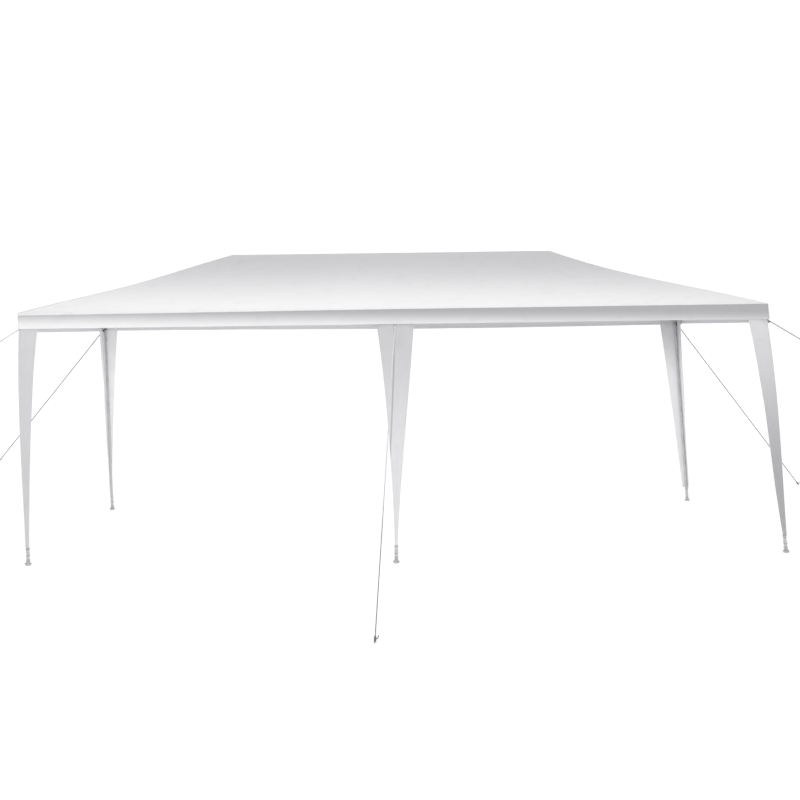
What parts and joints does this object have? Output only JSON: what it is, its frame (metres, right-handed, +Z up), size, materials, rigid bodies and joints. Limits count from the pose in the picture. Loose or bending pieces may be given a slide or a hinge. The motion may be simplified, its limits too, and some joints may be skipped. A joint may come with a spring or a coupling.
{
  "type": "steel patio gazebo",
  "caption": "White cloth party gazebo on a steel pole frame: hipped roof with a hanging valance, open sides, tapering leg drapes, and taut guy ropes run out to ground stakes.",
  "frame": {"origin": "on the ground at the middle of the whole plan, guy ropes and stakes included", "axes": "+X along the long side to the picture's right, +Y towards the rear, +Z up"},
  "size_m": [10.7812, 8.2344, 2.5553],
  "materials": {
    "pole_steel": "galvanised tube, satin grey with a faint spangle",
    "connector_steel": "galvanised, a little duller than the tubes",
    "cover_cloth": "white woven plastic cloth, fine weave with a soft sheen",
    "valance_cloth": "the same white cloth, hemmed along its lower edge",
    "drape_cloth": "the same white cloth, single layer with turned side hems",
    "guy_rope": "twisted grey cord",
    "stake_steel": "bright bent wire, slightly scuffed"
  },
  "bodies": {
    "root": {"front_left_leg": "pole_steel", "front_middle_leg": "pole_steel", "front_right_leg": "pole_steel", "rear_left_leg": "pole_steel", "rear_middle_leg": "pole_steel", "rear_right_leg": "pole_steel", "front_left_eave_tube": "pole_steel", "front_right_eave_tube": "pole_steel", "rear_left_eave_tube": "pole_steel", "rear_right_eave_tube": "pole_steel", "left_end_tube": "pole_steel", "right_end_tube": "pole_steel", "left_ridge_tube": "pole_steel", "right_ridge_tube": "pole_steel", "front_left_hip_rafter": "pole_steel", "front_right_hip_rafter": "pole_steel", "rear_left_hip_rafter": "pole_steel", "rear_right_hip_rafter": "pole_steel", "front_middle_rafter": "pole_steel", "rear_middle_rafter": "pole_steel", "front_left_corner_connector": "connector_steel", "front_right_corner_connector": "connector_steel", "rear_left_corner_connector": "connector_steel", "rear_right_corner_connector": "connector_steel", "front_middle_connector": "connector_steel", "rear_middle_connector": "connector_steel", "left_ridge_connector": "connector_steel", "middle_ridge_connector": "connector_steel", "right_ridge_connector": "connector_steel", "roof_cover": "cover_cloth", "front_valance": "valance_cloth", "rear_valance": "valance_cloth", "left_valance": "valance_cloth", "right_valance": "valance_cloth", "front_left_leg_drape": "drape_cloth", "front_middle_leg_drape": "drape_cloth", "front_right_leg_drape": "drape_cloth", "rear_left_leg_drape": "drape_cloth", "rear_middle_leg_drape": "drape_cloth", "rear_right_leg_drape": "drape_cloth", "front_left_guy_rope": "guy_rope", "front_middle_guy_rope": "guy_rope", "front_right_guy_rope": "guy_rope", "rear_left_guy_rope": "guy_rope", "rear_middle_guy_rope": "guy_rope", "rear_right_guy_rope": "guy_rope", "front_left_stake": "stake_steel", "front_middle_stake": "stake_steel", "front_right_stake": "stake_steel", "rear_left_stake": "stake_steel", "rear_middle_stake": "stake_steel", "rear_right_stake": "stake_steel"}
  },
  "joints": []
}
